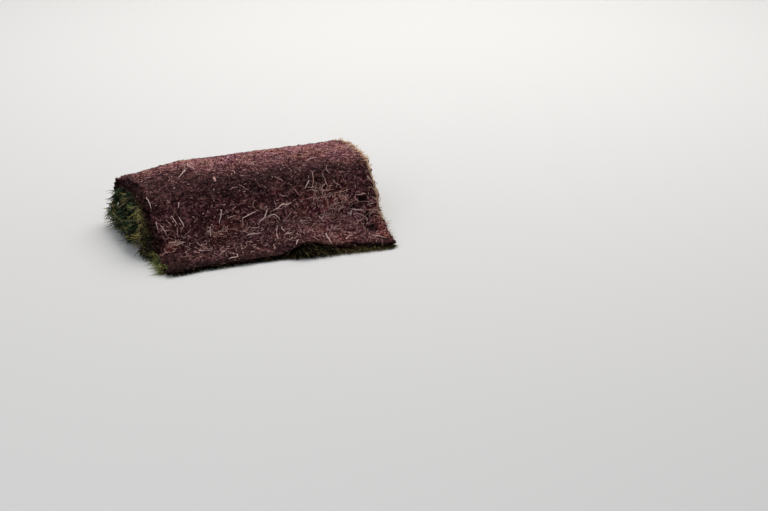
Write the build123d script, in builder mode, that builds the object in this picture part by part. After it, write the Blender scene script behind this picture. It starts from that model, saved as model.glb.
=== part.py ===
from build123d import *
import os
from math import atan, cos, pi, radians, sin

# A short strip of lawn turf, rolled up loosely with its grass inside and its soil outside.
# The roll lies on its side and has sunk into a low loaf, nearly two turns deep, and the free
# end of the strip comes down the front and spreads forward on the ground.
# X runs along the roll's axis, Y from the free end towards the back and Z up. The origin is
# on the ground, at the middle of the roll's box. Sizes are millimetres.

# The strip
strip_width = 400.0
mat_thickness = 17.0
edge_thickness = 6.0
pressed_grass = 11.0

# The way it is rolled
core_height = 42.0
run_length = 104.0
inner_run = 76.0
curl_sweep = 115.0
foot_reach = 80.0
right_spread = 22.0
right_spread_reach = 120.0
left_spread = 6.0
left_spread_reach = 60.0
left_lean = 10.0

# The left end has sagged
left_sag = 13.0
sag_reach = 120.0

# A wave lifts the free edge right of the middle
edge_gap = 3.0
wave_lift = 14.0
wave_centre = 38.0
wave_left_reach = 50.0
wave_right_reach = 62.0

# Three torn holes near the right end: how far in from that end, how high, how wide, how tall
tears = [
    (28.0, 57.0, 16.0, 13.0),
    (24.0, 31.0, 17.0, 12.0),
    (22.0, 16.0, 20.0, 9.0),
]
tear_depth = 8.0

# A bite torn out of the left end of the outer turn: how far in it reaches, how high, how tall
bite_reach = 19.0
bite_height = 31.0
bite_tall = 34.0

# The grass that stands out of the roll
left_overhang = 22.0
right_overhang = 8.0
left_fringe = 3.0
wave_fringe = 20.0
right_fringe = 6.0
tuck_angle = 15.0

# The weight of the roll presses its underside flat by this much
sole_press = 0.5

# Sizes that follow from those above
half_width = strip_width / 2
wave_end = wave_centre + wave_right_reach
front_radius = core_height / 2 + mat_thickness + pressed_grass + mat_thickness
roll_height = 3 * mat_thickness + core_height + pressed_grass
back_radius = roll_height / 2
front_reach = max(right_spread + right_fringe, left_spread + left_fringe, wave_fringe)
depth = front_reach + foot_reach + front_radius + run_length + back_radius
back_y = depth / 2 - back_radius
front_y = back_y - run_length
foot_y = front_y - front_radius - foot_reach
curl_y = front_y + inner_run
lean_slope = left_lean / roll_height
tear_reach = right_spread + foot_reach + mat_thickness + tear_depth
grass_top_left = core_height - left_sag + 2 * mat_thickness + pressed_grass
middle_x = (left_overhang + grass_top_left * sin(atan(lean_slope)) - right_overhang) / 2

# Where the cross sections stand along X
wave_steps = [-1.0, -0.7, -0.4, 0.0]
soil_places = [-half_width + sag_reach * step / 4 for step in range(5)]
soil_places += [wave_centre + wave_left_reach * step for step in wave_steps]
soil_places += [wave_centre - wave_right_reach * step for step in reversed(wave_steps[:3])]
soil_places += [wave_end + (half_width - wave_end) * step / 3 for step in (1, 2, 3)]
grass_places = [-half_width - left_overhang] + soil_places + [half_width + right_overhang]


def smooth(share):
    """A soft rise from 0 to 1."""
    share = min(max(share, 0.0), 1.0)
    return (1 - cos(pi * share)) / 2


def core_at(x):
    """Height of the core at a place along X."""
    return core_height - left_sag * (1 - smooth((x + half_width) / sag_reach))


def lift_at(x):
    """Height of the free edge's underside at a place along X."""
    reach = wave_left_reach if x < wave_centre else wave_right_reach
    return edge_gap + wave_lift * smooth(1 - abs(x - wave_centre) / reach)


def free_edge_at(x):
    """Where the free edge lies at a place along X: both its corners spread forward."""
    right = smooth((x - half_width + right_spread_reach) / right_spread_reach)
    left = smooth((left_spread_reach - half_width - x) / left_spread_reach)
    return foot_y - right_spread * right - left_spread * left


def fringe_at(x):
    """How far the grass stands out in front of the free edge at a place along X."""
    rising = smooth((x - wave_centre + wave_left_reach) / wave_left_reach)
    falling = smooth((x - wave_end) / (half_width - wave_end))
    return left_fringe + (wave_fringe - left_fringe) * rising + (right_fringe - wave_fringe) * falling


def plane_at(x):
    """The plane of the cross section at x. It leans out at the left end and is upright at the right."""
    lean = atan(lean_slope) * min(max((half_width - x) / strip_width, 0.0), 1.0)
    return Plane(origin=(x + middle_x, 0, -sole_press), x_dir=(0, 1, 0), z_dir=(cos(lean), 0, sin(lean)))


def front_plane(x, z):
    """An upright plane in front of the roll, facing back, centred at x and z."""
    return Plane(origin=(x + middle_x, foot_y - right_spread, z), z_dir=(0, 1, 0), x_dir=(1, 0, 0))


def polar(centre, radius, angle):
    """A point on a circle."""
    return (centre[0] + radius * cos(radians(angle)), centre[1] + radius * sin(radians(angle)))


def soil_lines(x):
    """Outline of the rolled strip of soil at x."""
    core = core_at(x)
    lift = lift_at(x)
    top = 3 * mat_thickness + core + pressed_grass
    front = (front_y, mat_thickness + core / 2)
    back = (back_y, top / 2)
    curl_radius = core / 3
    curl = (curl_y, mat_thickness + core - curl_radius)
    inner = core / 2
    outer = inner + mat_thickness + pressed_grass
    end_angle = 90 - curl_sweep
    tip = lift + edge_thickness
    nose = front[0] - outer
    edge = free_edge_at(x)
    # Round the outside, from the free edge over the top and under the roll into the core
    Line((edge, lift), (edge, tip))
    Bezier((edge, tip), (nose - mat_thickness, tip), (nose - mat_thickness, front[1]))
    CenterArc(front, outer + mat_thickness, 180, -90)
    Line((front_y, top), (back_y, top))
    CenterArc(back, top / 2, 90, -180)
    Line((back_y, 0), (front_y, 0))
    CenterArc(front, inner + mat_thickness, 270, -tuck_angle)
    CenterArc(front, inner + mat_thickness, 270 - tuck_angle, tuck_angle - 180)
    Line((front_y, 2 * mat_thickness + core), (curl_y, 2 * mat_thickness + core))
    CenterArc(curl, curl_radius + mat_thickness, 90, -curl_sweep)
    # The cut end in the core, and back along the side that carries the grass
    Line(polar(curl, curl_radius + mat_thickness, end_angle), polar(curl, curl_radius, end_angle))
    CenterArc(curl, curl_radius, end_angle, curl_sweep)
    Line((curl_y, mat_thickness + core), (front_y, mat_thickness + core))
    CenterArc(front, inner, 90, 180)
    Line((front_y, mat_thickness), (back_y, mat_thickness))
    CenterArc(back, top / 2 - mat_thickness, 270, 180)
    Line((back_y, top - mat_thickness), (front_y, top - mat_thickness))
    CenterArc(front, outer, 90, 90)
    Bezier((nose, front[1]), (nose, lift), (edge, lift))


def grass_lines(x):
    """Outline of the grass between the turns at x."""
    core = core_at(x)
    lift = lift_at(x)
    top = 3 * mat_thickness + core + pressed_grass
    front = (front_y, mat_thickness + core / 2)
    back = (back_y, top / 2)
    curl_radius = core / 3
    curl = (curl_y, mat_thickness + core - curl_radius)
    inner = core / 2
    outer = inner + mat_thickness + pressed_grass
    end_angle = 90 - curl_sweep
    nose = front[0] - outer
    edge = free_edge_at(x)
    fringe = edge - fringe_at(x)
    tuck = polar(front, inner + mat_thickness, 270 - tuck_angle)
    # The fringe in front of the free edge, then along the soil of the outer turn
    Line((fringe, 0), (fringe, edge_gap))
    Line((fringe, edge_gap), (edge, lift))
    Bezier((edge, lift), (nose, lift), (nose, front[1]))
    CenterArc(front, outer, 180, -90)
    Line((front_y, top - mat_thickness), (back_y, top - mat_thickness))
    CenterArc(back, top / 2 - mat_thickness, 90, -180)
    Line((back_y, mat_thickness), (front_y, mat_thickness))
    CenterArc(front, inner, 270, -180)
    Line((front_y, mat_thickness + core), (curl_y, mat_thickness + core))
    # Round the strip's inner end and back to the front
    CenterArc(curl, curl_radius, 90, -curl_sweep)
    Line(polar(curl, curl_radius, end_angle), polar(curl, curl_radius + mat_thickness, end_angle))
    CenterArc(curl, curl_radius + mat_thickness, end_angle, curl_sweep)
    Line((curl_y, 2 * mat_thickness + core), (front_y, 2 * mat_thickness + core))
    CenterArc(front, inner + mat_thickness, 90, 180 - tuck_angle)
    Line(tuck, (tuck[0], 0))
    Line((tuck[0], 0), (fringe, 0))


# The soil, one strip rolled up with its roots in it
with BuildPart() as soil_mat:
    for place in soil_places:
        with BuildSketch(plane_at(place)):
            with BuildLine():
                soil_lines(place)
            make_face()
    loft(ruled=True)
    split(bisect_by=Plane.XY, keep=Keep.TOP)
    # Torn holes and the bite go through the outer turn, from the front
    for tear_inset, tear_z, tear_width, tear_height in tears:
        with BuildSketch(front_plane(half_width - tear_inset, tear_z)):
            Ellipse(tear_width / 2, tear_height / 2)
        extrude(amount=tear_reach, mode=Mode.SUBTRACT)
    with BuildSketch(front_plane(-half_width - bite_height * lean_slope, bite_height)):
        Ellipse(bite_reach, bite_tall / 2)
    extrude(amount=tear_reach, mode=Mode.SUBTRACT)
soil_mat.part.label = "soil_mat"
soil_mat.part.color = Color(0.24, 0.13, 0.1)

# The grass between the turns, standing out past both ends and in front of the free edge
with BuildPart() as grass_sward:
    for place in grass_places:
        with BuildSketch(plane_at(place)):
            with BuildLine():
                grass_lines(place)
            make_face()
    loft(ruled=True)
    split(bisect_by=Plane.XY, keep=Keep.TOP)
grass_sward.part.label = "grass_sward"
grass_sward.part.color = Color(0.16, 0.28, 0.08)

os.makedirs("parts", exist_ok=True)
export_step(soil_mat.part, "parts/soil_mat.step")
export_step(grass_sward.part, "parts/grass_sward.step")
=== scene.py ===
import math
import bpy
import numpy as np
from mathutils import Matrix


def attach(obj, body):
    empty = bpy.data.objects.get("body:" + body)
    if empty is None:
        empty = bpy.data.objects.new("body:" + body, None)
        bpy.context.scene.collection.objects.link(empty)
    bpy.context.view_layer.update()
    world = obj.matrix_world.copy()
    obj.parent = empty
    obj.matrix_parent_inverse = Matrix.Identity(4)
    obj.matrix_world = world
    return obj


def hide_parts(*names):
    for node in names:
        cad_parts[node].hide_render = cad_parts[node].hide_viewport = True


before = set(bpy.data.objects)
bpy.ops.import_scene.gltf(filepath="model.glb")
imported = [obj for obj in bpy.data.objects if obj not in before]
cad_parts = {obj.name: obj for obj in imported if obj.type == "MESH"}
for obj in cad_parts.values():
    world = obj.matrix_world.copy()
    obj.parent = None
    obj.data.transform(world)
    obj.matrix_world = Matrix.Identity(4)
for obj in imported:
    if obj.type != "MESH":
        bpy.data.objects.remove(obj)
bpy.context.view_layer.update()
print("frame loaded")

# the strip as it is rolled: the same sizes as the solids, in millimetres
roll = {
    "width": 400.0, "mat": 17.0, "edge": 6.0, "pressed": 11.0, "core": 42.0, "run": 104.0, "innerRun": 76.0,
    "curlSweep": 115.0, "footReach": 80.0, "rightSpread": 22.0, "rightReach": 120.0, "leftSpread": 6.0,
    "leftReach": 60.0, "leftLean": 10.0, "sag": 13.0, "sagReach": 120.0, "gap": 3.0, "waveLift": 14.0,
    "waveCentre": 38.0, "waveLeft": 50.0, "waveRight": 62.0, "leftOver": 22.0, "rightOver": 8.0,
    "leftFringe": 3.0, "waveFringe": 20.0, "rightFringe": 6.0, "sole": 0.5,
}
half = roll["width"] / 2
mat = roll["mat"]
height = 3 * mat + roll["core"] + roll["pressed"]
frontRadius = roll["core"] / 2 + 2 * mat + roll["pressed"]
depth = roll["rightFringe"] + roll["rightSpread"] + roll["footReach"] + frontRadius + roll["run"] + height / 2
backY = depth / 2 - height / 2
frontY = backY - roll["run"]
footY = frontY - frontRadius - roll["footReach"]
lean = math.atan(roll["leftLean"] / height)
middleX = (roll["leftOver"] + (height - roll["sag"] - mat) * math.sin(lean) - roll["rightOver"]) / 2
# how long the strip's runs and bends are, from the free edge over the top and round into the core
parts = {
    "flare": 106.0, "front": 104.0, "over": 104.0, "back": 163.0, "under": 104.0,
    "inner": 119.0, "innerOver": 76.0, "curl": 62.0,
}
stops = np.concatenate([[0.0], np.cumsum(list(parts.values()))])
backEnd, underEnd, stripEnd = stops[4], stops[5], stops[-1]
seenTo = 450.0  # the soil shows up to here, low on the back


def soft(share):
    return (1 - np.cos(np.pi * np.clip(share, 0, 1))) / 2


def bump(value, centre, width):
    return np.exp(-((value - centre) / width) ** 2)


def between(value, start, rising, end, falling):
    # 0 before start and after end and 1 well inside, with soft slopes
    return soft((value - start) / rising) * soft((end - value) / falling)


def fuzz(points, size, seed):
    # soft noise from -1 to 1, its lumps about as wide as size; the big numbers only scramble the cells
    p = points / np.asarray(size, float) + seed * 7.31
    cell = np.floor(p).astype(np.int64)
    t = p - cell
    t = t * t * (3 - 2 * t)
    total = 0
    for corner in range(8):
        step = np.array([corner & 1, corner >> 1 & 1, corner >> 2 & 1])
        c = cell + step
        n = (c[..., 0] * 73856093) ^ (c[..., 1] * 19349663) ^ (c[..., 2] * 83492791) ^ (seed * 2654435)
        n = ((n ^ (n >> 13)) & 0x7FFFFFFF) * 1274126177
        n = (n >> 15) & 0xFFFF
        total = total + (n / 32767.5 - 1) * np.prod(np.where(step == 1, t, 1 - t), axis=-1)
    return total


def unit(v):
    return v / np.maximum(np.linalg.norm(v, axis=-1, keepdims=True), 1e-9)


def arc(centreY, centreZ, radius, start, sweep, share):
    angle = np.radians(start + sweep * share)
    return centreY + radius * np.cos(angle), centreZ + radius * np.sin(angle)


def matPoint(x, s, k):
    # x along the roll, s along the strip, k from 0 on the soil side to 1 where the grass starts
    x, s, k = np.broadcast_arrays(np.asarray(x, float), s, k)
    core = roll["core"] - roll["sag"] * (1 - soft((x + half) / roll["sagReach"]))
    reach = np.where(x < roll["waveCentre"], roll["waveLeft"], roll["waveRight"])
    lift = roll["gap"] + roll["waveLift"] * soft(1 - np.abs(x - roll["waveCentre"]) / reach)
    edge = footY - roll["rightSpread"] * soft((x - half + roll["rightReach"]) / roll["rightReach"])
    edge = edge - roll["leftSpread"] * soft((roll["leftReach"] - half - x) / roll["leftReach"])
    top = 3 * mat + core + roll["pressed"]
    outer = core / 2 + 2 * mat + roll["pressed"]
    share = np.interp(s, stops, np.arange(len(stops)))
    part = np.clip(share.astype(int), 0, len(parts) - 1)
    u = share - part
    inset = mat * k
    tipZ = lift + roll["edge"] * (1 - k)
    noseY = frontY - outer + inset
    noseZ = mat + core / 2
    shapes = [
        ((1 - u) ** 2 * edge + (1 - (1 - u) ** 2) * noseY, (1 - u * u) * tipZ + u * u * noseZ),
        arc(frontY, noseZ, outer - inset, 180, -90, u),
        (frontY + roll["run"] * u, top - inset),
        arc(backY, top / 2, top / 2 - inset, 90, -180, u),
        (backY - roll["run"] * u, inset),
        arc(frontY, noseZ, core / 2 + mat - inset, 270, -180, u),
        (frontY + roll["innerRun"] * u, 2 * mat + core - inset),
        arc(frontY + roll["innerRun"], mat + core * 2 / 3, core / 3 + mat - inset, 90, -roll["curlSweep"], u),
    ]
    y, z = [np.choose(part, [np.broadcast_to(shape[n], part.shape) for shape in shapes]) for n in (0, 1)]
    tilt = lean * np.clip((half - x) / roll["width"], 0, 1)
    return np.stack([x + middleX - z * np.sin(tilt), y, z * np.cos(tilt) - roll["sole"]], -1)


cutEnds = {  # the ragged cut at both ends: places along the strip, and how far it stands out there
    "left": [
        (0, 2), (20, 4), (48, 0), (68, -6), (84, -15), (101, -20), (119, -14), (139, -9), (166, -8), (197, -11),
        (226, -17), (249, -21), (279, -15), (297, -10), (309, -4), (320, 1), (345, 5), (375, 6), (410, 0),
        (450, -4), (820, -4),
    ],
    "right": [
        (0, -16), (26, -6), (50, 1), (100, 0), (122, -2), (157, -5), (180, -4), (214, 4), (259, 8), (290, 5),
        (321, -2), (361, -2), (820, -2),
    ],
    "reach": 60.0,  # how far in from an end the cut is felt
    "wander": 1.4,  # how ragged it is
    "leftBevel": 0.9,  # how much of the cut-back is gone again on the grass side
    "rightBevel": 0.5,
    "undercut": 8.0,  # how far the free edge is torn back below
    "undercutReach": 24.0,
    "leftShoulder": (11.0, 4.0),  # how far in the top of the roll droops, and how much; the right end rises
    "rightShoulder": (34.0, -1.0),
    "overTop": (150, 60, 420, 60),  # where along the strip the shoulders are
}


def trimmed(x, s, k=0.0):
    # pulls the strip's ends in and out along the ragged cut
    x, s, k = np.broadcast_arrays(np.asarray(x, float), s, k)
    moved = x.copy()
    for side, name in ((-1, "left"), (1, "right")):
        near = np.clip(1 - (half - side * x) / cutEnds["reach"], 0, 1) ** 2
        line = np.stack([s, s * 0 + 31.0 * side, k * 14.0], -1)
        places, outs = zip(*cutEnds[name])
        cut = np.interp(s, places, outs) * (1 - cutEnds[name + "Bevel"] * k)
        cut = cut + cutEnds["wander"] * (fuzz(line, 19.0, 11) + 0.6 * fuzz(line, 7.0, 12))
        moved = moved + side * cut * near
    return moved


def droop(x, s):
    # how far the top of the roll sinks towards its ends
    overTop = between(s, *cutEnds["overTop"])
    depths = [drop * np.clip((side * x - half + reach) / reach, 0, 1) ** 2
              for side, (reach, drop) in ((-1, cutEnds["leftShoulder"]), (1, cutEnds["rightShoulder"]))]
    return (overTop * sum(depths))[..., None]


def laid(x, s, k):
    # a point of the mat with its ragged ends and its torn free edge
    x, s, k = np.broadcast_arrays(np.asarray(x, float), s, k)
    xt = trimmed(x, s, k)
    reach = cutEnds["undercutReach"]
    back = cutEnds["undercut"] * k * soft((reach - s) / reach)
    return matPoint(xt, s + back, k) - matNormal(xt, s, 0.0) * droop(xt, s)


relief = {  # in millimetres
    # each kind of lump: how high, how wide along the roll, along the strip and in depth, and its seed
    "swell": (1.6, (110, 80, 60), 1), "lumps": (0.9, (30, 22, 20), 2), "knobs": (1.0, (9, 7.5, 8), 3),
    "crumbs": (0.75, (4.6, 4.2, 4), 4), "streaks": (0.5, (30, 3.6, 9), 5), "dents": (2.6, (12, 8, 8), 6),
    "ragged": (2.6, (17, 9, 9), 7), "frayed": (1.56, (6, 9, 9), 8),  # these two along the free edge
    "shallow": 0.884,  # dents less deep than this stay closed
    "ends": 1.8,  # the cut ends are this much rougher
    "rounded": 1.6,  # how much the free edge is rounded off
    # torn holes: place along the roll, place along the strip, half sizes, depth
    "tears": [(171, 121, 9, 8, 13), (176, 85, 8, 10, 12), (172, 49, 11, 10, 6), (168, 67, 7, 6, 4.5),
              (150, 112, 7, 5, 3.5)],
}


def hollow(x, s):
    # how deep the torn holes are at a place, from 0 to 1 and in millimetres
    x, s = np.broadcast_arrays(np.asarray(x, float), s)
    line = np.stack([x, s, x * 0], -1)
    torn = 0.5 * fuzz(line, 7.0, 21) + 0.25 * fuzz(line, 3.2, 22)
    share, deep = x * 0, x * 0
    for tx, ts, tw, th, td in relief["tears"]:
        near = np.sqrt(((x - tx) / tw) ** 2 + ((s - ts) / th) ** 2) + torn
        here = soft((1.25 - near) / 0.5)
        share = np.maximum(share, here)
        deep = np.maximum(deep, here * td)
    return share, deep


def layer(name, q):
    high, size, seed = relief[name]
    return high * fuzz(q, size, seed)


def rise(x, s, k):
    # how far the soil stands out from its plain surface
    x, s, k = np.broadcast_arrays(np.asarray(x, float), s, k)
    q = np.stack([x, s, k * mat], -1)
    atEnd = soft((np.abs(x) - half + 6) / 6)
    atFree = soft((5 - s) / 5)
    fine = layer("knobs", q) + layer("crumbs", q) + layer("streaks", q) * (0.35 + 0.65 * soft((60 - x) / 160))
    dents = np.maximum(layer("dents", q) - relief["shallow"], 0)
    high = layer("swell", q) + layer("lumps", q) + fine * (1 + relief["ends"] * atEnd) - dents
    high = high + atFree * (layer("ragged", q) + layer("frayed", q))
    high = high - relief["rounded"] * soft((7 - s) / 7) * (k < 0.2)
    return high - hollow(x, s)[1] * (1 - k)


def matNormal(x, s, k):
    step = 0.7
    alongX = matPoint(x + step, s, k) - matPoint(x - step, s, k)
    alongS = matPoint(x, np.minimum(s + step, stripEnd), k) - matPoint(x, np.maximum(s - step, 0), k)
    return unit(np.cross(alongX, alongS))


def onSoil(x, s, lift=0.0):
    # a point on the rough soil side, and the way out from there
    xt = trimmed(x, s)
    out = matNormal(xt, s, 0.0)
    return matPoint(xt, s, 0.0) + out * ((rise(x, s, 0.0) + lift)[..., None] - droop(xt, s)), out


class Wire:  # a socket that takes part in Python sums
    def __init__(self, shade, socket):
        self.shade = shade
        self.socket = socket

    def __add__(self, other):
        return self.shade.sum("ADD", self, other)

    def __sub__(self, other):
        return self.shade.sum("SUBTRACT", self, other)

    def __rsub__(self, other):
        return self.shade.sum("SUBTRACT", other, self)

    def __mul__(self, other):
        return self.shade.sum("MULTIPLY", self, other)

    __radd__ = __add__

    def sibling(self, number):  # another output of the same node
        return Wire(self.shade, self.socket.node.outputs[number])


class Shade:  # one material and its nodes
    def __init__(self, name, plain):
        self.material = bpy.data.materials.new(name)
        self.material.use_nodes = True
        self.material.diffuse_color = (*plain, 1)
        self.tree = self.material.node_tree
        self.tree.nodes.clear()

    def node(self, kind, settings=None, sockets=None, out=0):
        made = self.tree.nodes.new("ShaderNode" + kind)
        place = len(self.tree.nodes)
        made.location = (place % 12 * 200, -280 * (place // 12))
        for key, value in (settings or {}).items():
            if key == "stops":
                self.fill(made.color_ramp.elements, value)
            else:
                setattr(made, key, value)
        for key, value in (sockets or {}).items():
            if isinstance(value, Wire):
                self.tree.links.new(value.socket, made.inputs[key])
            else:
                made.inputs[key].default_value = value
        return Wire(self, made.outputs[out]) if made.outputs else None

    def fill(self, elements, rampStops):
        while len(elements) > 1:
            elements.remove(elements[-1])
        elements[0].position = rampStops[0][0]
        elements[0].color = (*rampStops[0][1], 1)
        for place, colour in rampStops[1:]:
            elements.new(place).color = (*colour, 1)

    def sum(self, operation, *values):
        return self.node("Math", {"operation": operation}, dict(enumerate(values)))

    def clear(self, value, low, high):  # 0 below low, 1 above high
        return self.node("MapRange", {"interpolation_type": "SMOOTHSTEP"},
                         {"Value": value, "From Min": low, "From Max": high})

    def spread(self, value, low, high):  # 0 to 1 becomes low to high
        return self.node("MapRange", None, {"Value": value, "To Min": low, "To Max": high})

    def mix(self, share, a, b, way="MIX"):  # a and b are sockets or colours
        a, b = [one if isinstance(one, Wire) else (*one, 1) for one in (a, b)]
        return self.node("Mix", {"data_type": "RGBA", "blend_type": way}, {0: share, 6: a, 7: b}, 2)

    def tinted(self, share, colour, tint):
        return self.mix(share, colour, self.mix(1.0, colour, tint, "MULTIPLY"))

    def ramp(self, value, *rampStops):
        return self.node("ValToRGB", {"stops": rampStops}, {"Fac": value})

    def noise(self, where, scale, detail=3.0, rough=0.6):
        return self.node("TexNoise", None,
                         {"Vector": where, "Scale": scale, "Detail": detail, "Roughness": rough})

    def turned(self, where, angle, long):  # drawn out along one way of the surface
        return self.node("Mapping", {"vector_type": "TEXTURE"},
                         {"Vector": where, "Rotation": (0, 0, angle), "Scale": (long, 1, 1)})

    def hairs(self, where, angle, long, scale, thin):  # thin wandering lines
        level = self.noise(self.turned(where, angle, long), scale, 1.5, 0.5)
        return 1 - self.clear(self.sum("ABSOLUTE", level - 0.5), thin * 0.35, thin)

    def read(self, name, out=2):
        return self.node("Attribute", {"attribute_name": name}, None, out)

    def finish(self, sockets):
        skin = self.node("BsdfPrincipled", None, sockets)
        self.node("OutputMaterial", None, {"Surface": skin})
        return self.material


soilLook = {
    "dark": (0.007, 0.0018, 0.0025), "moist": (0.03, 0.0078, 0.0104), "plain": (0.073, 0.0205, 0.0255),
    "dryAndLit": (0.18, 0.066, 0.072), "fibre": (0.58, 0.32, 0.29), "rust": (2.6, 1.3, 0.5),
    # the second colour here is near black, for torn holes and painted shade
    "thatch": (0.09, 0.06, 0.027), "holeAndShade": (0.005, 0.003, 0.003),
    "plum": (0.99, 0.84, 1.12), "peat": (1.05, 0.95, 0.84),  # the two tints it wanders between
    "dryAndLitLift": 0.36,  # how much dry patches and the painted light on the top and the foot of the front lighten it
    # how fine the patterns are
    "patches": 34.0, "clods": 120.0, "grain": 270.0, "streaks": 420.0, "tints": 27.0, "flecks": 330.0,
    # hairs: which way they run, how far they are drawn out, how fine and how thin they are
    "along": (0.12, 5.0, 300.0, 0.05), "down": (1.35, 4.0, 260.0, 0.045), "slanted": (2.35, 4.0, 240.0, 0.045),
    "thatchFrom": (0.0155, 0.0195),  # metres through the mat
    "bumps": 0.0024, "rough": (0.82, 1.0), "shine": 0.04,
}


def soilMaterial(look):
    shade = Shade("soilWithRoots", look["plain"])
    place = shade.read("place", 1)  # along the roll, along the strip, through the mat, in metres
    # the tone's channels: dry patches with painted light, rust, and torn holes with painted shade
    dryAndLit = shade.node("SeparateColor", None, {"Color": shade.read("tone", 0)})
    rust, holeAndShade = dryAndLit.sibling(1), dryAndLit.sibling(2)
    patches = shade.noise(place, look["patches"])
    clods = shade.noise(place, look["clods"])
    grain = shade.noise(place, look["grain"], 4.0, 0.68)
    streaks = shade.noise(shade.turned(place, 0.06, 8.0), look["streaks"])
    # dry patches and painted light on the top and the foot lift the colour
    body = patches * 0.6 + clods * 0.8 + grain * 1.8 + streaks - 1.6 + (dryAndLit - 0.4) * look["dryAndLitLift"]
    colour = shade.ramp(body, (0.16, look["dark"]), (0.40, look["moist"]), (0.58, look["plain"]),
                        (0.80, look["dryAndLit"]), (0.98, look["fibre"]))
    wander = shade.clear(shade.noise(place, look["tints"], 2.0), 0.36, 0.64)
    colour = shade.mix(1.0, colour, shade.mix(wander, look["plum"], look["peat"]), "MULTIPLY")
    colour = shade.tinted(rust * shade.clear(clods + patches, 0.60, 1.0), colour, look["rust"])
    along = shade.hairs(place, *look["along"]) * shade.clear(clods, 0.46, 0.62)
    down = shade.hairs(place, *look["down"]) * shade.clear(patches + grain, 0.98, 1.14)
    slanted = shade.hairs(place, *look["slanted"]) * shade.clear(clods + grain, 1.0, 1.16)
    lines = shade.sum("MAXIMUM", shade.sum("MAXIMUM", along, down), slanted)
    colour = shade.mix(lines * (0.28 + dryAndLit * 0.3), colour, look["fibre"])
    flecks = shade.node("TexVoronoi", None, {"Vector": place, "Scale": look["flecks"]})
    chosen = shade.clear(shade.noise(place, 900.0, 0.0, 0.5), 0.55, 0.60)  # only some of the flecks show
    colour = shade.mix((1 - shade.clear(flecks, 0.15, 0.30)) * chosen * 0.8, colour, look["fibre"])
    # torn holes and painted shade go near black
    colour = shade.mix(holeAndShade * 0.93, colour, look["holeAndShade"])
    through = shade.node("SeparateXYZ", None, {"Vector": place}, 2)
    colour = shade.mix(shade.clear(through + grain * 0.006, *look["thatchFrom"]), colour, look["thatch"])
    high = grain * 0.9 + clods * 0.7 + streaks * 0.3 + lines * 0.22
    normal = shade.node("Bump", None, {"Strength": 1.0, "Distance": look["bumps"], "Height": high})
    return shade.finish({"Base Color": colour, "Roughness": shade.spread(grain, *look["rough"]),
                         "Normal": normal, "Specular IOR Level": look["shine"]})


tipTint = (2.6, 2.6, 2.0)  # tips are paler, partly painted light, and feet darker with painted shade, each as much as the piece's look says
footShadeTint = (0.10, 0.10, 0.09)


def stalkMaterial(name, look, plain):
    # for roots, blades and crumbs: shade picks the colour, along runs from foot to tip
    shade = Shade(name, plain)
    pick = shade.read("shade")
    along = shade.read("along")
    grown = along * along
    colour = shade.tinted(grown * look["tip"], shade.ramp(pick, *look["stops"]), tipTint)
    colour = shade.tinted((1 - grown) * look["foot"], colour, footShadeTint)
    return shade.finish({"Base Color": colour, "Roughness": shade.spread(pick, *look["rough"]),
                         "Specular IOR Level": look["shine"]})


def added(name, data):
    made = bpy.data.objects.new(name, data)
    bpy.context.scene.collection.objects.link(made)
    return made


def normalsOf(mesh):
    out = np.zeros(len(mesh.vertices) * 3, np.float32)
    mesh.vertex_normals.foreach_get("vector", out)
    return out.reshape(-1, 3)


def piece(name, points, faces, material, floats=None, vectors=None, colours=None, uv=None, lowest=0.0):
    # points are in millimetres; floats, vectors and colours are what its material reads
    points[:, 2] = np.maximum(points[:, 2], lowest)
    mesh = bpy.data.meshes.new(name)
    mesh.from_pydata((points * 0.001).tolist(), [], faces)
    kinds = (("FLOAT", "value", floats), ("FLOAT_VECTOR", "vector", vectors), ("FLOAT_COLOR", "color", colours))
    for kind, field, sets in kinds:
        for key, values in (sets or {}).items():
            attribute = mesh.attributes.new(key, kind, "POINT")
            attribute.data.foreach_set(field, np.ravel(values).astype(np.float32))
    if uv is not None:
        if len(uv) == len(points):
            corners = np.zeros(len(mesh.loops), np.int32)
            mesh.loops.foreach_get("vertex_index", corners)
            uv = uv[corners]
        mesh.uv_layers.new(name="OFBake").uv.foreach_set("vector", np.ravel(uv).astype(np.float32))
    mesh.polygons.foreach_set("use_smooth", [True] * len(mesh.polygons))
    mesh.materials.append(material)
    mesh.update()
    made = added(name, mesh)
    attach(made, "root")
    mesh.calc_loop_triangles()
    print(name, len(mesh.loop_triangles), "triangles")
    return made


flatMap = {  # where the sides of a stretch of the mat lie on its flat map
    "soil": ((0.0, 0.0), (0.72, 1.0)), "grass": ((0.83, 0.0), (1.0, 0.30)),
    "leftCut": ((0.74, 0.0), (0.775, 1.0)), "rightCut": ((0.785, 0.0), (0.82, 1.0)),
    "start": ((0.83, 0.32), (1.0, 0.36)), "end": ((0.83, 0.38), (1.0, 0.42)),
}


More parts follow.
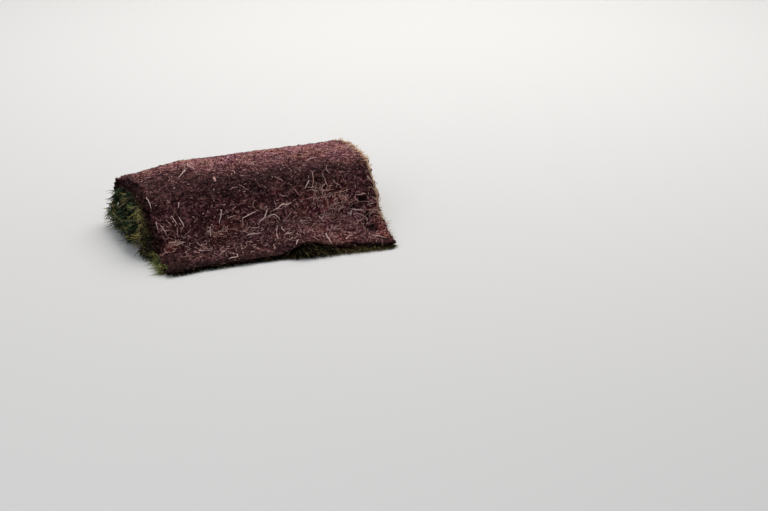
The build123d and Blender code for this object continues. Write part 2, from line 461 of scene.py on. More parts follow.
def slab(xs, ss, ks):
    # the outside of a stretch of the mat: points as (x, s, k), quads, and their places on a flat map
    size = (len(ss), len(xs), len(ks))
    edge = np.zeros(size, bool)
    edge[[0, -1]] = edge[:, [0, -1]] = edge[:, :, [0, -1]] = True
    number = np.full(size, -1)
    number[edge] = np.arange(edge.sum())
    i, j, k = np.nonzero(edge)
    spots = np.stack([xs[j], ss[i], ks[k]], -1)
    quads, maps = [], []

    def side(name, grid, flip):
        low, high = flatMap[name]
        rows, columns = grid.shape
        r, c = np.meshgrid(np.arange(rows - 1), np.arange(columns - 1), indexing="ij")
        ring = [(r, c), (r, c + 1), (r + 1, c + 1), (r + 1, c)]
        if flip:
            ring = ring[::-1]
        quads.append(np.stack([grid[a, b].ravel() for a, b in ring], -1))
        across = [low[0] + (high[0] - low[0]) * b.ravel() / (columns - 1) for a, b in ring]
        up = [low[1] + (high[1] - low[1]) * a.ravel() / (rows - 1) for a, b in ring]
        maps.append(np.stack([np.stack(across, -1), np.stack(up, -1)], -1))

    side("soil", number[:, :, 0], False)
    side("grass", number[:, :, -1], True)
    side("leftCut", number[:, 0, :], True)
    side("rightCut", number[:, -1, :], False)
    side("start", number[0, :, :].T, True)
    side("end", number[-1, :, :].T, False)
    return spots, np.concatenate(quads), np.concatenate(maps).reshape(-1, 2)


painted = {  # patches on the strip: x and s of the middle, how wide, how long, how strong
    "rust": [(-172, 76, 17, 14, 2.0), (-85, 96, 20, 20, 1.3), (-100, 311, 60, 22, 0.06),
             (106, 138, 30, 26, 0.55), (90, 14, 60, 16, 0.2)],
    "moist": [(-20, 184, 90, 28, 0.3), (105, 163, 45, 14, 0.25)],
    "dark": [(104, 146, 34, 24, 0.74)],
}


def daubs(name, x, s):
    return sum(strong * bump(x, midX, wide) * bump(s, midS, long) for midX, midS, wide, long, strong in painted[name])


def cornerShade(x, s):
    # painted shade: the left corner of the free edge is darkened, and its roots too
    return soft((-135 - x) / 50) * soft((62 - s) / 36)


def tones(x, s, k):
    # how dry and pale, how rusty and how dark the strip is, with painted light and painted shade in it; the places are
    # millimetres along it
    q = np.stack([x, s, k * mat], -1)
    patch = fuzz(q, (60, 40, 30), 31) * 0.5 + fuzz(q, (22, 16, 12), 32) * 0.4 + fuzz(q, (7, 5, 5), 33) * 0.3
    patch = patch * (1 - 0.4 * soft((-40 - x) / 60))
    # the top of the roll is paler: dry soil, and painted light where it faces up
    topStart = 205 + 55 * soft((-60 - x) / 50) - 32 * soft((x - 130) / 30)
    top = between(s, topStart, 60, seenTo, 130)
    # a paler swell along the foot of the front, higher up and weaker to the left: dry soil, and painted light where the
    # flare turns up
    swell = s - 76 - 42 * soft((-20 - x) / 80) - 8 * soft((x - 30) / 50)
    foot = bump(swell, 0, np.where(swell > 0, 46, 36 + 30 * soft((x - 20) / 50)))
    foot = foot * (0.36 + 0.20 * soft((x + 90) / 60) + 0.52 * soft((x - 10) / 50)) * (1 - 0.4 * soft((x - 172) / 12))
    rim = soft((x - half + 7) / 6) * soft((s - 60) / 60)
    dryAndLit = np.clip(0.04 + 0.85 * top + foot + 0.50 * patch + 0.6 * rim, 0, 1)
    # the steep middle of the front is darker: moist patches, and painted shade
    dryAndLit = dryAndLit - 0.18 * bump(s, 184, 28) - daubs("moist", x, s)
    dryAndLit = dryAndLit + 0.34 * between(s, 262, 50, 405, 60) * soft((x + 195) / 50)  # palest along the top, partly painted light
    rust = daubs("rust", x, s) + 0.40 * soft((x - 174) / 10) * soft((150 - s) / 60) + 0.12 * rim
    rust = np.clip(rust * (0.8 + 0.7 * patch) + 0.1 * patch, 0, 1)
    # darker cut faces and top-left corner: moist soil, with painted shade
    cutFace = soft((np.abs(x) - half + 3) / 3) * soft(k / 0.12)
    cutFace = np.maximum(cutFace, soft((-x - half + 24) / 14) * bump(s, 305, 26))
    # painted shade on the free edge, its face and the strip just above it, most to the left
    freeFace = soft((3 - s) / 3) * soft(k / 0.12)
    freeFace = np.maximum(freeFace, 0.5 * soft((15 - s) / 8) + 0.42 * soft((8 - s) / 5))
    freeFace = np.maximum(freeFace, 0.95 * soft((20 - s) / 14) * soft((50 - x) / 90))
    dark = 0.8 * cornerShade(x, s) + daubs("dark", x, s) + 0.92 * cutFace + 0.9 * freeFace
    dark = np.clip(dark, 0, 0.93) * (0.8 + 0.4 * patch)
    # the third channel: torn holes, and the painted shade above
    torn = np.clip(np.maximum(hollow(x, s)[0] * (k < 0.5), dark), 0, 1)
    return np.stack([dryAndLit, rust, torn, dryAndLit * 0 + 1], -1)


def soilPiece(name, xs, ss, ks):
    spots, quads, flat = slab(xs, ss, ks)
    x, s, k = spots.T
    points = laid(x, s, k)
    mesh = bpy.data.meshes.new("plain")
    mesh.from_pydata(points.tolist(), [], quads.tolist())
    grassSide = (k > 0.99) & (np.abs(x) < half - 1)
    points = points + normalsOf(mesh) * (rise(x, s, k) * np.where(grassSide, 0.4, 1))[:, None]
    bpy.data.meshes.remove(mesh)
    where = np.stack([trimmed(x, s, k), s, k * mat], -1) * 0.001
    return piece(name, points, quads.tolist(), soil, None, {"place": where}, {"tone": tones(x, s, k)}, flat)


soil = soilMaterial(soilLook)
across = np.linspace(-half, half, 197)
alongOuter = np.concatenate([
    np.arange(0, 320, 2.05),  # finest where the front and the top show
    np.linspace(320, backEnd, 46)[1:],
    np.linspace(backEnd, underEnd, 12)[1:],
])
through = np.linspace(0, 1, 7)
soilWrap = soilPiece("soil_wrap", across, alongOuter, through)
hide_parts("soil_mat")
nearEnds = np.array([0, 1.5, 3.5, 6, 9, 13, 18, 25, 35, 50])
acrossInner = np.concatenate([-half + nearEnds, np.linspace(-130, 130, 12), half - nearEnds[::-1]])
soilPiece("soil_inner_turn", acrossInner, np.linspace(underEnd, stripEnd, 90), through)


def stalks(paths, side, widths, fold):
    # closed three-sided stems: side is the way of their width, fold how deep they are for their width
    count, rings = paths.shape[:2]
    ahead = unit(np.gradient(paths, axis=1))
    side = unit(side[:, None] - (side[:, None] * ahead).sum(-1, keepdims=True) * ahead)
    deep = np.cross(ahead, side)
    w = widths[..., None]
    corners = np.stack([paths + side * w, paths + deep * w * fold, paths - side * w], 2)
    first = np.arange(count)[:, None] * rings * 3 + np.arange(rings - 1) * 3
    quads = []
    for a, b in ((0, 1), (1, 2), (2, 0)):
        quads.append(np.stack([first + a, first + 3 + a, first + 3 + b, first + b], -1).reshape(-1, 4))
    foot = np.arange(count) * rings * 3
    tip = foot + (rings - 1) * 3
    caps = np.concatenate([np.stack([foot, foot + 1, foot + 2], -1), np.stack([tip + 2, tip + 1, tip], -1)])
    return corners.reshape(-1, 3), np.concatenate(quads).tolist() + caps.tolist()


def stalkPiece(name, paths, side, widths, fold, shades, material):
    points, faces = stalks(paths, side, widths, fold)
    count, rings = paths.shape[:2]
    along = np.broadcast_to(np.linspace(0, 1, rings)[None, :, None], (count, rings, 3))
    pick = np.broadcast_to(shades[:, None, None], (count, rings, 3))
    spread = np.broadcast_to(np.array([-0.006, 0, 0.006]), (count, rings, 3))
    uv = np.stack([0.02 + 0.96 * pick + spread, 0.02 + 0.96 * along], -1).reshape(-1, 2)
    piece(name, points, faces, material, {"shade": pick, "along": along}, uv=uv, lowest=0.15)


def sprout(foot, ahead, bend, length):
    # five points along stems that start straight ahead and bend more and more towards the tip
    t = np.linspace(0, 1, 5)[None, :, None]
    return foot[:, None] + (ahead[:, None] * t + bend[:, None] * t * t) * length[:, None, None]


def drawn(rng, count, low, high, power=1.0):
    # random sizes from low to high, most of them small where the power is high
    return low + (high - low) * rng.random(count) ** power


crumbs = {
    "count": 5600, "seed": 17, "size": (0.7, 2.3, 3.0), "sunk": 0.25,
    "onCuts": 0.18,  # this share of them sits on the cut faces
    "onCutsLight": 0.15,  # and is darkened this much, partly painted shade as on the cut faces
    "stops": [(0.0, (0.008, 0.002, 0.002)), (0.4, (0.029, 0.008, 0.009)), (0.7, (0.085, 0.028, 0.030)),
              (0.9, (0.25, 0.115, 0.110)), (1.0, (0.48, 0.30, 0.27))],
    "tip": 0.0, "foot": 0.0, "rough": (0.9, 1.0), "shine": 0.06,
}
crumbSkin = stalkMaterial("soilCrumb", crumbs, (0.08, 0.04, 0.04))


def clod():
    # corners and sides of a ball of twenty triangles
    golden = (1 + 5 ** 0.5) / 2

    def signs(value):
        return (1, -1) if value else (1,)

    kinds = ((0, 1, golden), (1, golden, 0), (golden, 0, 1))
    ball = [(a * p, b * q, c * r) for a, b, c in kinds for p in signs(a) for q in signs(b) for r in signs(c)]
    ball = unit(np.array(ball, float))
    near = np.linalg.norm(ball[:, None] - ball[None], axis=-1) < 1.2
    sides = [(a, b, c) for a in range(12) for b in range(a + 1, 12) for c in range(b + 1, 12)
             if near[a, b] and near[b, c] and near[a, c]]
    outward = [np.dot(np.cross(ball[b] - ball[a], ball[c] - ball[a]), ball[a]) > 0 for a, b, c in sides]
    return ball, np.array([(a, b, c) if out else (a, c, b) for (a, b, c), out in zip(sides, outward)])


def crumbPiece():
    # small clods that cling to the soil side and to the cut ends
    rng = np.random.default_rng(crumbs["seed"])
    count = crumbs["count"]
    ball, sides = clod()
    x = rng.uniform(-half + 1, half - 1, count)
    s = rng.uniform(1, seenTo, count)
    size = drawn(rng, count, *crumbs["size"])
    foot = onSoil(x, s, -crumbs["sunk"] * size)[0]
    onCuts = rng.random(count) < crumbs["onCuts"]
    side = np.where(rng.random(count) < 0.6, -1.0, 1.0)
    k = rng.uniform(0.05, 0.95, count)
    foot[onCuts] = laid(side * half, s, k)[onCuts]
    stretch = rng.uniform(0.6, 1.35, (count, 1, 3)) * size[:, None, None]
    rough = 1 + rng.normal(0, 0.16, (count, len(ball), 1))
    points = (foot[:, None] + ball[None] * rough * stretch).reshape(-1, 3)
    faces = (np.arange(count)[:, None, None] * len(ball) + sides).reshape(-1, 3).tolist()
    # paler from the top of the roll back: partly painted light
    pick = np.clip(rng.beta(1.5, 2.3, count) + 0.18 * soft((s - 180) / 70), 0, 1)
    pick[onCuts] *= crumbs["onCutsLight"]
    pick = np.broadcast_to(pick[:, None], (count, len(ball)))
    uv = np.stack([0.02 + 0.96 * pick + ball[:, 0] * 0.006, 0.5 + ball[:, 1] * 0.01 + pick * 0], -1).reshape(-1, 2)
    piece("soil_crumbs", points, faces, crumbSkin, {"shade": pick, "along": pick * 0}, uv=uv, lowest=0.1)


crumbPiece()

roots = {
    "stops": [(0.0, (0.022, 0.006, 0.007)), (0.3, (0.080, 0.024, 0.025)), (0.55, (0.27, 0.105, 0.100)),
              (0.8, (0.82, 0.455, 0.405)), (1.0, (1.0, 0.735, 0.68))],
    "rimStops": [(0.0, (0.022, 0.008, 0.005)), (0.3, (0.095, 0.042, 0.022)), (0.55, (0.30, 0.155, 0.085)),
                 (0.8, (0.82, 0.54, 0.35)), (1.0, (1.0, 0.80, 0.60))],
    "tip": 0.1, "foot": 0.08, "rough": (0.6, 0.8), "shine": 0.15,
    "fold": 1.2,  # how deep a root is for its width
    # winds: how much they turn at each step; level and off: how high they lie, and up to how far their
    # tips stand off; and the last, how much painted shade darkens them in the left corner
    "fine": {"count": 7400, "seed": 51, "long": (2.5, 14.5, 2.2), "thick": (0.14, 0.36, 2.0),
             "winds": 0.18, "level": 0.3, "off": 1.0, "rings": 4, "shadedInCorner": 0.5},
    "flecks": {"count": 640, "seed": 56, "long": (1.5, 5), "thick": (0.44, 0.76), "pale": (0.78, 1.0),
               "winds": 0.15, "level": 0.5, "off": 1.2, "rings": 3, "shadedInCorner": 0.6},
    "edge": {"count": 300, "seed": 57, "long": (5, 15), "thick": (0.34, 0.6), "pale": (0.66, 0.94),
             "heads": (math.pi / 2, 0.3), "winds": 0.2, "level": 0.5, "off": 1.6, "rings": 5, "shadedInCorner": 0},
    "bold": {"count": 235, "seed": 52, "long": (4, 22, 2.5), "thick": (0.34, 0.62), "pale": (0.76, 1.0),
             "winds": 0.17, "level": 0.5, "off": 3.0, "rings": 6, "shadedInCorner": 0.6},
    "tangle": {"seed": 53, "long": (4, 22, 1.6), "thick": (0.26, 0.48), "pale": (0.68, 1.0),
               "winds": 0.5, "level": 0.7, "off": 4.0, "rings": 8, "shadedInCorner": 0},
    "rim": {"count": 620, "hanging": 170, "seed": 55, "thick": (0.22, 0.42), "taper": [1, 1, 0.9, 0.7, 0.4]},
    # the tangles: x and s of the middle, how far they spread each way, how many roots
    "tangles": [(99, 142, 13, 17, 62), (126, 127, 14, 13, 50), (-170, 80, 9, 5, 34), (-85, 97, 12, 10, 24),
                (-80, 296, 14, 12, 30), (-44, 90, 12, 9, 12), (0, 110, 14, 12, 18), (189, 104, 4, 10, 12)],
    # single roots that stand out: x and s where they start, length, heading in degrees, bend, thickness, shade
    "single": [
        (-198, 204, 35, -92, 6, 0.5, 0.9), (-142, 168, 12, -101, 0, 0.6, 0.85), (-162, 147, 18, -72, 0, 0.55, 0.85),
        (-151, 143, 21, -76, 5, 0.6, 0.95), (-79, 142, 26, -84, -30, 0.65, 0.9), (-78, 116, 27, -81, 0, 0.5, 0.75),
        (-100, 118, 30, -104, 20, 0.75, 1.0), (-73, 123, 16, 0, 10, 0.5, 0.8), (-49, 119, 27, 18, -12, 0.65, 0.95),
        (-21, 104, 30, 46, 8, 0.85, 1.0), (-3, 116, 27, 8, -70, 0.75, 0.95), (5, 122, 38, 42, -40, 0.7, 0.9),
        (-45, 75, 25, -10, 12, 0.8, 1.0), (-35, 97, 16, -22, 10, 0.5, 0.8), (-185, 91, 20, -32, 10, 0.7, 0.85),
        (-168, 77, 20, 2, 14, 0.75, 0.85), (-200, 124, 16, 72, 0, 0.55, 0.8), (-188, 136, 22, -73, -10, 0.6, 0.85),
        (-156, 126, 19, -94, 0, 0.45, 0.75), (-96, 11, 16, -8, 0, 0.6, 0.9), (-80, 7, 12, 80, 0, 0.55, 0.85),
        (-6, 36, 20, -105, 0, 0.5, 0.8), (14, 90, 26, -100, 8, 0.6, 0.9), (8, 62, 20, -98, 0, 0.55, 0.85),
        (20, 79, 21, -90, 12, 0.6, 0.9), (-84, 305, 40, -108, 30, 0.6, 0.8), (-96, 271, 32, -120, -20, 0.7, 0.9),
        (20, 4, 14, 46, 0, 0.7, 0.9), (50, 82, 18, 22, -14, 0.6, 0.85), (89, 104, 14, -70, 0, 0.75, 1.0),
        (98, 104, 14, -110, 0, 0.75, 1.0), (90, 44, 33, -100, 14, 0.75, 0.95), (72, 152, 19, 52, 8, 0.55, 0.95),
        (98, 193, 38, -100, -6, 0.36, 0.75), (90, 151, 30, -22, 10, 0.4, 0.7), (117, 140, 28, -4, 8, 0.4, 0.7),
        (146, 86, 18, 90, -14, 0.85, 1.0), (146, 107, 24, 20, -60, 0.85, 1.0), (150, 97, 30, -46, -8, 0.55, 0.8),
        (161, 131, 16, 6, -14, 0.55, 0.8), (154, 129, 12, -54, 0, 0.5, 0.8), (188, 162, 12, -70, 10, 0.55, 0.9),
        (112, 17, 22, 30, 0, 0.5, 0.8), (50, 313, 20, 28, 10, 0.6, 0.8), (100, 234, 26, 34, -8, 0.55, 0.85),
        (158, 24, 28, -36, 6, 0.5, 0.8), (-30, 217, 14, 80, 20, 0.5, 0.75), (-56, 171, 15, 12, 0, 0.5, 0.75),
        (40, 171, 18, 110, 30, 0.5, 0.7), (150, 211, 16, 60, 0, 0.45, 0.7), (4, 256, 20, 10, 20, 0.45, 0.7),
        (157, 122, 27, -18, 16, 0.3, 0.65), (163, 76, 26, 36, -10, 0.3, 0.6), (186, 128, 24, -60, 30, 0.45, 0.85),
        (184, 104, 20, -112, 30, 0.4, 0.8), (191, 112, 12, 150, 60, 0.45, 0.9),
    ],
    "chip": (-67, 212, 15, -100, 0, 2.0, 0.72),  # a short thick one, listed the same way
    # what the single ones share: how crooked, and how much thicker and paler than listed they are
    "alike": {"seed": 54, "crooked": 0.24, "thicker": 1.15, "paler": 0.1, "level": 0.8, "bridge": 0.9,
              "taper": [0.6, 0.9, 1, 1, 1, 0.95, 0.85, 0.65, 0.35]},
}
rootSkin = stalkMaterial("rootFibre", roots, (0.3, 0.2, 0.14))
rimSkin = stalkMaterial("rimFibre", {**roots, "stops": roots["rimStops"]}, (0.4, 0.3, 0.2))


def stride(x, s, angle, length):
    # where roots that head these ways are after each of their steps
    step = (length / (angle.shape[1] - 1))[:, None]
    return x[:, None] + np.cumsum(np.cos(angle) * step, 1), s[:, None] + np.cumsum(np.sin(angle) * step, 1)


def layRoots(name, px, ps, lift, widths, shades, skin=rootSkin):
    paths, out = onSoil(np.clip(px, -half + 0.5, half - 0.5), ps, lift)
    side = np.cross(out[:, 0], unit(paths[:, -1] - paths[:, 0]))
    stalkPiece(name, paths, side, widths, roots["fold"], shades, skin)


def started(name):
    kind = roots[name]
    return kind, np.random.default_rng(kind["seed"]), kind.get("count")


def rootPiece(name, kind, rng, x, s, shades=None, heading=None, skin=rootSkin):
    # roots that lie on the soil, wander as they go and stand off a little at their tips
    count, rings = len(x), kind["rings"]
    length = drawn(rng, count, *kind["long"])
    width = drawn(rng, count, *kind["thick"])
    if shades is None:
        shades = drawn(rng, count, *kind["pale"])
    if heading is None:
        heading = rng.normal(*kind["heads"], count) if "heads" in kind else rng.uniform(0, 2 * math.pi, count)
    stand = rng.uniform(0, kind["off"], (count, rings)) * np.linspace(0.2, 1, rings) ** 2
    angle = heading[:, None] + np.cumsum(rng.normal(0, kind["winds"], (count, rings)), 1)
    px, ps = stride(x, s, angle, length)
    px = px - px[:, :1] + x[:, None]
    ps = np.clip(ps - ps[:, :1] + s[:, None], 1.0, backEnd - 2)
    # painted shade in the left corner
    shades = shades * (1 - kind["shadedInCorner"] * cornerShade(x, s))
    layRoots(name, px, ps, kind["level"] + stand, width[:, None] * np.linspace(1, 0.4, rings), shades, skin)


def fineRoots():
    # they lie along the roll on the left, and any way on the right
    kind, rng, count = started("fine")
    x = rng.uniform(-half + 2, half - 2, count)
    free = rng.uniform(0, 2 * math.pi, count)
    lined = rng.normal(0, 0.28, count) + math.pi * rng.integers(0, 2, count)
    heading = np.where(rng.random(count) < 0.5 - x / 500, lined, free)
    s = rng.uniform(2, seenTo, count)
    # fine roots are darker across the steep middle of the front: painted shade
    shades = rng.beta(0.8, 1.9, count) * (1 - 0.45 * bump(s, 155, 50))
    # and darker near the free edge on the left: painted shade
    shades = shades * (1 - 0.75 * soft((22 - s) / 16) * soft((50 - x) / 90))
    rootPiece("roots_fine", kind, rng, x, s, shades, heading)


def rootFlecks():
    # bits of pale root, most of them on the lower front
    kind, rng, count = started("flecks")
    s = np.where(rng.random(count) < 0.65, rng.uniform(18, 140, count), rng.uniform(10, 440, count))
    rootPiece("roots_flecks", kind, rng, rng.uniform(-half + 3, half - 3, count), s)


def edgeRoots():
    # pale ones that run along the cut right edge
    kind, rng, count = started("edge")
    x = half - 0.5 - np.abs(rng.normal(0, 1.2, count))
    rootPiece("roots_edge", kind, rng, x, rng.uniform(60, 400, count), skin=rimSkin)


def boldRoots():
    kind, rng, count = started("bold")
    x = rng.uniform(-half + 6, half - 6, count)
    s = np.where(rng.random(count) < 0.72, rng.uniform(18, 130, count), rng.uniform(130, 440, count))
    rootPiece("roots_bold", kind, rng, x, s)


def tangledRoots():
    kind, rng = started("tangle")[:2]
    midX, midS, spreadX, spreadS, many = np.array(roots["tangles"], float).T
    nth = np.repeat(np.arange(len(many)), many.astype(int))
    x = midX[nth] + rng.normal(0, 1, len(nth)) * spreadX[nth]
    s = midS[nth] + rng.normal(0, 1, len(nth)) * spreadS[nth]
    rootPiece("roots_tangle", kind, rng, x, s)


def singleRoots():
    kind, rng = started("alike")[:2]
    x, s, length, heading, bend, thick, shades = np.array(roots["single"] + [roots["chip"]], float).T
    taper = np.array(kind["taper"])
    share = np.linspace(0, 1, len(taper))
    angle = np.radians(heading[:, None] + bend[:, None] * share)
    angle = angle + rng.normal(0, kind["crooked"], angle.shape)
    arch = np.sin(math.pi * share) * rng.uniform(0.5, 2.0, (len(x), 1))
    px, ps = stride(x, s, angle, length)
    ps = np.clip(ps, 1, 600)
    bridge = kind["bridge"] * hollow(np.clip(px, -half + 0.5, half - 0.5), ps)[1]  # over the torn holes
    widths = thick[:, None] * taper * kind["thicker"]
    layRoots("roots_single", px, ps, kind["level"] + arch + bridge, widths, np.minimum(shades + kind["paler"], 1))


def rimFibres():
    # short pale fibres that stand out of the cut ends, and a few that hang from the free edge
    kind, rng, rim = started("rim")
    hanging = kind["hanging"]
    s = np.concatenate([rng.uniform(2, 440, rim), rng.uniform(0, 2, hanging)])
    atRight = (rng.random(rim) < 0.75) | (s[:rim] > 250)
    x = np.concatenate([np.where(atRight, half, -half), rng.uniform(-half + 4, half - 4, hanging)])
    k = np.concatenate([rng.random(rim) ** 1.5, rng.uniform(0, 0.6, hanging)])
    ahead = np.zeros((rim + hanging, 3))
    ahead[:rim, 0] = np.sign(x[:rim])
    ahead[rim:] = (0, -0.8, -0.25)
    ahead = unit(ahead + rng.normal(0, 0.5, ahead.shape) + matNormal(x, s, 0.0) * 0.35)
    length = np.concatenate([rng.uniform(3, 8, rim), rng.uniform(3, 10, hanging)])
    paths = sprout(laid(x, s, k), ahead, rng.normal(0, 0.3, ahead.shape), length)
    shades = np.where(atRight, 0.55 + 0.45 * rng.random(rim), 0.15 + 0.4 * rng.random(rim))
    shades = np.concatenate([shades, 0.2 + 0.5 * rng.random(hanging)])
    side = rng.normal(0, 1, ahead.shape)
    widths = rng.uniform(*kind["thick"], len(x))[:, None] * np.array(kind["taper"])
    stalkPiece("roots_rim", paths, side, widths, roots["fold"], shades, rimSkin)


fineRoots()
rootFlecks()
edgeRoots()
boldRoots()
tangledRoots()
singleRoots()
rimFibres()

thatch = {
    # dark colours, partly painted shade for the depth between the turns
    "stops": [(0.0, (0.007, 0.007, 0.004)), (0.5, (0.028, 0.021, 0.010)), (1.0, (0.10, 0.072, 0.034))],
    "tip": 0.2, "foot": 0.3, "rough": (0.8, 0.95), "shine": 0.15, "voxel": 0.0045, "standsOut": 32.0,
    "inset": (3.0, 9.0),  # how far inside the strip's left and right ends it stops
    "behind": 9.0,  # how far behind the free edge it stops
}
thatchSkin = stalkMaterial("thatch", thatch, (0.06, 0.05, 0.02))


def standsOut(x, y, z):
    # how far the grass at the left end stands out past the soil: most of all near the ground
    near = np.clip((50 - half - x) / 50, 0, 1) ** 2
    return thatch["standsOut"] * near * soft((74 - z) / 70) * soft((y + 105) / 85)


def swardMass():
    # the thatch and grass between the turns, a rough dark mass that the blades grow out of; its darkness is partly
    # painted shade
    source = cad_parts["grass_sward"]
    solid = added("solid", source.data.copy())
    remesh = solid.modifiers.new("remesh", "REMESH")
    remesh.mode = "VOXEL"
    remesh.voxel_size = thatch["voxel"]
    graph = bpy.context.evaluated_depsgraph_get()
    mesh = bpy.data.meshes.new_from_object(solid.evaluated_get(graph))
    bpy.data.objects.remove(solid)
    points = np.zeros(len(mesh.vertices) * 3, np.float32)
    mesh.vertices.foreach_get("co", points)
    points, out = points.reshape(-1, 3).astype(float) * 1000, normalsOf(mesh)
    faces = [list(polygon.vertices) for polygon in mesh.polygons]
    bpy.data.meshes.remove(mesh)
    low, high = points[:, 0].min(), points[:, 0].max()
    share = (points[:, 0] - low) / (high - low)
    leftInset, rightInset = thatch["inset"]
    points[:, 0] = middleX - half + leftInset + share * (2 * half - leftInset - rightInset)
    points[:, 0] -= standsOut(points[:, 0] - middleX, points[:, 1], points[:, 2])
    points = points + out * (fuzz(points, 7.0, 41) * 1.6 + fuzz(points, 3.0, 42) * 0.8 - 1.6)[:, None]
    freeEdge = matPoint(points[:, 0] - middleX, 0.0, 1.0)[:, 1]
    points[:, 1] = np.maximum(points[:, 1], freeEdge + thatch["behind"] + 3 * fuzz(points, 8.0, 44))
    points[:, 2] = np.maximum(points[:, 2], 0.0)
    dull = np.clip(0.25 + 0.3 * fuzz(points, 6.0, 43), 0, 1)
    made = piece("thatch_mass", points, faces, thatchSkin, {"shade": dull, "along": dull * 0})
    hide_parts("grass_sward")


swardMass()

grass = {
    "stops": [(0.0, (0.003, 0.007, 0.003)), (0.3, (0.011, 0.026, 0.010)), (0.55, (0.075, 0.140, 0.080)),
              (0.70, (0.20, 0.28, 0.110)), (0.84, (0.34, 0.26, 0.09)), (1.0, (0.60, 0.45, 0.27))],
    # tip and foot: how much the tips are paled, partly painted light, and the feet darkened with painted shade
    "tip": 0.9, "foot": 0.95, "rough": (0.5, 0.7), "shine": 0.2,
    # green: how the draw of greens leans, to dark or light; wild: how far blades lean; inset: how far inside
    # the end they start; flat: the share that lies across it; low: how much longer they are low down;
    # straw: the share of dry ones next to the soil; reach: how far out they may go
    "left": {"clumps": 640, "each": 9, "long": (8, 21), "wide": (0.45, 1.0), "seed": 61, "green": (0.7, 1.8),
             "wild": 0.7, "inset": 0, "flat": 0.5, "low": 0.6, "straw": 0.58, "reach": 36},
    "right": {"clumps": 460, "each": 8, "long": (7, 18), "wide": (0.4, 0.8), "seed": 62, "green": (1.5, 1.7),
              "wild": 0.6, "inset": 6, "flat": 0.2, "low": 0.2, "straw": 0.5, "reach": 20},
    "corner": {"blades": 210, "long": (9, 23), "wide": (0.5, 1.0), "tones": (0.67, 0.84), "seed": 63},
    "shape": [0.75, 1.0, 0.85, 0.55, 0.08],  # how wide a blade is from foot to tip
    "fold": 0.28,  # how deep a blade is for its width
}
grassSkin = stalkMaterial("grassBlade", grass, (0.06, 0.10, 0.02))


def bladePiece(name, paths, side, wide, shades, skin=grassSkin):
    stalkPiece(name, paths, side, wide[:, None] * np.array(grass["shape"]), grass["fold"], shades, skin)


def endGrass(name, side, look):
    # clumps of blades between the turns, that lean out of the end and hang
    rng = np.random.default_rng(look["seed"])
    clumps, each = look["clumps"], look["each"]
    s = rng.uniform(6, stripEnd - 2, clumps)
    x = side * (half - look["inset"] - rng.random(clumps) ** 1.4 * 12)
    inward = -matNormal(x, s, 1.0)
    short = 0.4 + 0.6 * soft((s - 30) / 70)  # little grows under the foot of the flare
    across = rng.random(clumps) < look["flat"]  # some lie across the end
    ahead = np.array([side * 1.0, 0, 0]) * np.where(across, 0.3, 1)[:, None] + rng.normal(0, look["wild"], (clumps, 3))
    away = np.minimum((ahead * inward).sum(-1), 0)  # blades don't grow back through the soil
    ahead = unit(ahead + inward * (rng.uniform(0.2, 1.0, clumps) - away)[:, None])
    if side > 0:  # short under the outer turn, longer in the core
        short = short * (0.35 + 0.65 * soft((s - 330) / 120))
    low = between(s, 400, 60, 640, 40)
    length = rng.uniform(*look["long"], clumps) * short * (1 + look["low"] * low)
    hang = rng.normal(0, 0.4, (clumps, 3)) - np.array([0, 0, 0.35])
    tone = rng.beta(*look["green"], clumps)
    nth = np.repeat(np.arange(clumps), each)
    count = len(nth)
    foot = laid(x, s, 1.0)[nth] + inward[nth] * rng.uniform(-0.5, 3.0, count)[:, None] + rng.normal(0, 1.6, (count, 3))
    foot[:, 0] -= standsOut(foot[:, 0] - middleX, foot[:, 1], foot[:, 2]) * rng.uniform(0.4, 1.0, count)
    ahead = unit(ahead[nth] + rng.normal(0, 0.3, (count, 3)))
    ahead[:, 0] = side * np.abs(ahead[:, 0])
    length = length[nth] * rng.uniform(0.55, 1.1, count)
    room = side * (middleX + side * (half + look["reach"]) - foot[:, 0])
    length = np.minimum(length, np.maximum(room, 2) / (np.abs(ahead[:, 0]) + 0.1))
    paths = sprout(foot, ahead, (hang[nth] + rng.normal(0, 0.15, (count, 3))) * 0.8, length)
    wide = rng.uniform(*look["wide"], count)
    shades = np.clip(tone[nth] + rng.normal(0, 0.2, count), 0, 1)
    straw = rng.random(count) < 0.10 + look["straw"] * between(s, 50, 40, 240, 50)[nth]
    shades = np.where(straw, rng.uniform(0.74, 1.0, count), shades)
    bladePiece(name, paths, rng.normal(0, 1, (count, 3)), wide, shades)


def cornerTuft():
    # a fresh tuft that is caught under the left corner of the free edge
    look = grass["corner"]
    rng = np.random.default_rng(look["seed"])
    count = look["blades"]
    foot = laid(np.full(count, -half + 1.0), rng.uniform(2, 48, count), 1.0) + rng.normal(0, 1.8, (count, 3))
    ahead = unit(np.array([-0.7, -0.5, 0.3]) + rng.normal(0, 0.5, (count, 3)))
    bend = rng.normal(0, 0.3, (count, 3)) - np.array([0, 0, 0.3])
    paths = sprout(foot, ahead, bend, rng.uniform(*look["long"], count))
    paths[..., 2] = np.maximum(paths[..., 2], 0.4 + rng.random((count, 1)) * 2.5)
    wide = rng.uniform(*look["wide"], count)
    bladePiece("grass_corner_tuft", paths, rng.normal(0, 1, (count, 3)), wide, rng.uniform(*look["tones"], count))


endGrass("grass_left_end", -1, grass["left"])
endGrass("grass_right_end", 1, grass["right"])
cornerTuft()

fringe = {
    # its colours are darkened with painted shade, for the shadow under the free edge; feet darkest, tips paler
    "stops": [(0.0, (0.002, 0.002, 0.001)), (0.5, (0.006, 0.006, 0.002)), (0.72, (0.032, 0.026, 0.009)),
              (1.0, (0.32, 0.24, 0.13))],
    "tip": 0.9, "foot": 0.95, "rough": (0.8, 0.9), "shine": 0.05,
    "count": 3400, "seed": 71, "wide": (0.35, 0.85), "straw": 0.13,
}
fringeSkin = stalkMaterial("grassInShade", fringe, (0.02, 0.02, 0.006))


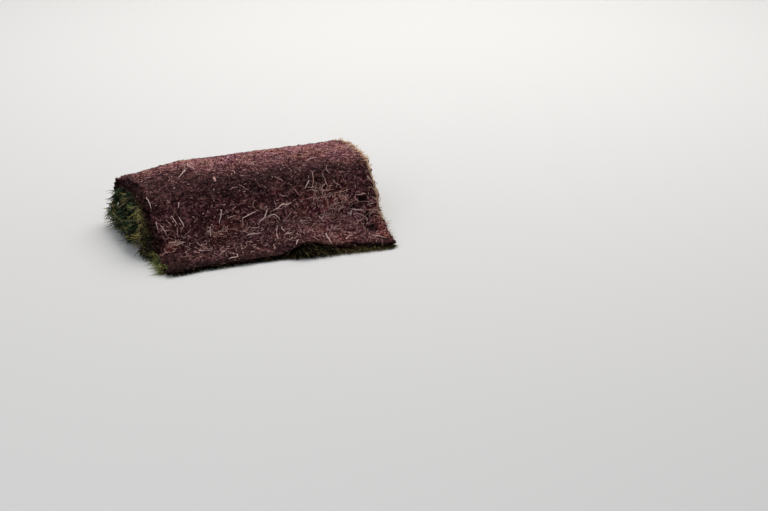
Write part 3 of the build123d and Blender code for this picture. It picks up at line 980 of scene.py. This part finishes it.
def frontFringe():
    # the grass under the free edge, pressed flat and pushed forward
    rng = np.random.default_rng(fringe["seed"])
    count = fringe["count"]
    x = np.where(rng.random(count) < 0.85, rng.uniform(-35, half - 17, count), rng.uniform(-half + 4, -25, count))
    rising = soft((x - roll["waveCentre"] + roll["waveLeft"]) / roll["waveLeft"])
    waveEnd = roll["waveCentre"] + roll["waveRight"]
    falling = soft((x - waveEnd) / (half - waveEnd))
    left, middle, right = roll["leftFringe"], roll["waveFringe"], roll["rightFringe"]
    reach = left + (middle - left) * rising + (right - middle) * falling
    edge = matPoint(x, 0.0, 1.0)
    behind = rng.uniform(0, 14, count)
    foot = edge + np.stack([x * 0, behind, x * 0], -1)
    foot[:, 2] = rng.random(count) ** 1.3 * (edge[:, 2] + 1.5) + 0.4
    length = behind + reach * rng.uniform(0.35, 1.25, count)
    ahead = unit(np.stack([rng.normal(0, 0.5, count), np.full(count, -1.0), rng.uniform(-0.15, 0.15, count)], -1))
    bend = np.array([0.0, 0.0, -0.2]) + rng.normal(0, 0.14, (count, 3))
    paths = sprout(foot, ahead, bend, length)
    paths[..., 2] = np.maximum(paths[..., 2], 0.4 + rng.random((count, 1)) * 2.6)
    straw = rng.random(count) < fringe["straw"] * (1 + 2.2 * soft((x - 60) / 50))  # more of it to the right
    shades = np.where(straw, rng.uniform(0.75, 1.0, count), rng.beta(1.4, 2.4, count))
    wide = rng.uniform(*fringe["wide"], count)
    bladePiece("grass_front_fringe", paths, rng.normal(0, 1, (count, 3)), wide, shades, fringeSkin)


frontFringe()

# the stage
stage = {
    "pale": (0.70, 0.695, 0.69),
    "underfoot": (0.14, 0.13, 0.13),  # what the floor throws back at the roll
    "world": (0.93, 0.96, 1.0), "worldLight": 0.34,
    "aim": (0, 0, 0.05),
    "lamps": {  # place, size, power, colour
        "keyLamp": ((0.9, 1.3, 2.3), 2.8, 74, (1.0, 0.97, 0.93)),
        "frontLamp": ((-1.6, -2.2, 1.6), 2.2, 24, (0.94, 0.97, 1.0)),
    },
    # the photograph's angle: place, how far down from level and how far round, and the lens
    "eye": (-0.9315, -2.800, 1.124), "down": 0.377505, "round": -0.397051, "lens": 86.12,
}
floorLook = Shade("paleFloor", stage["pale"])
seen = floorLook.node("LightPath")
floorLook.finish({"Base Color": floorLook.mix(seen, stage["underfoot"], stage["pale"]), "Roughness": 0.9})
bpy.ops.mesh.primitive_plane_add(size=30, location=(0, 0, -0.0004))
floor = bpy.context.object
floor.name = "floor"
floor.data.materials.append(floorLook.material)

world = bpy.data.worlds.new("studio")
bpy.context.scene.world = world
world.use_nodes = True
sky = world.node_tree.nodes["Background"]
sky.inputs["Color"].default_value = (*stage["world"], 1)
sky.inputs["Strength"].default_value = stage["worldLight"]


def lamp(name, place, size, power, colour):
    data = bpy.data.lights.new(name, "AREA")
    data.shape = "DISK"
    data.size = size
    data.energy = power
    data.color = colour
    made = added(name, data)
    made.location = place
    aim = np.array(stage["aim"]) - np.array(place)
    made.rotation_euler = (math.atan2(math.hypot(aim[0], aim[1]), -aim[2]), 0, math.atan2(aim[1], aim[0]) - math.pi / 2)


for lampName, look in stage["lamps"].items():
    lamp(lampName, *look)

lens = bpy.data.cameras.new("camera")
lens.sensor_fit = "HORIZONTAL"
lens.sensor_width = 36
lens.lens = stage["lens"]
lens.clip_end = 60
camera = added("camera", lens)
camera.location = stage["eye"]
camera.rotation_euler = (math.pi / 2 - stage["down"], 0, stage["round"])
bpy.context.scene.camera = camera
bpy.context.scene.view_settings.view_transform = "Standard"
print("stage and camera set")

bpy.context.view_layer.update()
